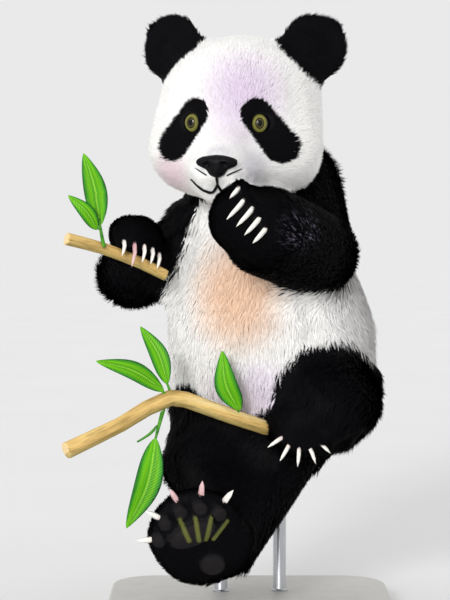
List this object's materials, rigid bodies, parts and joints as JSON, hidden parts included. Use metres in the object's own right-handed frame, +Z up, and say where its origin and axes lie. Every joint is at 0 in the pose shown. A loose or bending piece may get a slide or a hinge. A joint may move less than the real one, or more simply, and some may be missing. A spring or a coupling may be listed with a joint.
{
  "type": "giant panda",
  "caption": "Life-size young giant panda astride a cut branch, a paw at its mouth, the other gripping an upper branch, on a plain display stand.",
  "frame": {"origin": "middle of the underside of the display stand's board", "axes": "+Z up, the panda faces -Y, and its own left side is at +X"},
  "size_m": [0.4193, 0.401, 0.7856],
  "materials": {
    "coat_white": "matte fur",
    "coat_black": "matte fur",
    "eye": "wet gloss",
    "nose": "moist satin",
    "claw": "satin horn",
    "branch": "smooth bark",
    "leaf": "satin leaf",
    "stand_board": "satin paint",
    "stand_rod": "brushed"
  },
  "bodies": {
    "root": {"branch_held": "branch", "branch_seat": "branch", "claw_foot_left_1": "claw", "claw_foot_left_2": "claw", "claw_foot_left_3": "claw", "claw_foot_left_4": "claw", "claw_foot_left_5": "claw", "claw_foot_right_1": "claw", "claw_foot_right_2": "claw", "claw_foot_right_3": "claw", "claw_foot_right_4": "claw", "claw_foot_right_5": "claw", "claw_hand_left_1": "claw", "claw_hand_left_2": "claw", "claw_hand_left_3": "claw", "claw_hand_left_4": "claw", "claw_hand_left_5": "claw", "claw_hand_right_1": "claw", "claw_hand_right_2": "claw", "claw_hand_right_3": "claw", "claw_hand_right_4": "claw", "claw_hand_right_5": "claw", "ear_left": "coat_black", "ear_right": "coat_black", "eye_left": "eye", "eye_right": "eye", "foot_left": "coat_black", "foot_right": "coat_black", "forearm_left": "coat_black", "forearm_right": "coat_black", "hand_left": "coat_black", "hand_right": "coat_black", "head": "coat_white", "leaf_hanging": "leaf", "leaf_held_low": "leaf", "leaf_held_tall": "leaf", "leaf_seat_front": "leaf", "leaf_seat_side": "leaf", "leaf_seat_upper": "leaf", "neck": "coat_black", "nose": "nose", "shank_left": "coat_black", "shank_right": "coat_black", "stand_base": "stand_board", "stand_rod_left": "stand_rod", "stand_rod_right": "stand_rod", "tail": "coat_white", "thigh_left": "coat_black", "thigh_right": "coat_black", "trunk": "coat_white", "twig_bare": "branch", "twig_held": "branch", "twig_seat": "branch", "upper_arm_left": "coat_black", "upper_arm_right": "coat_black"}
  },
  "joints": []
}
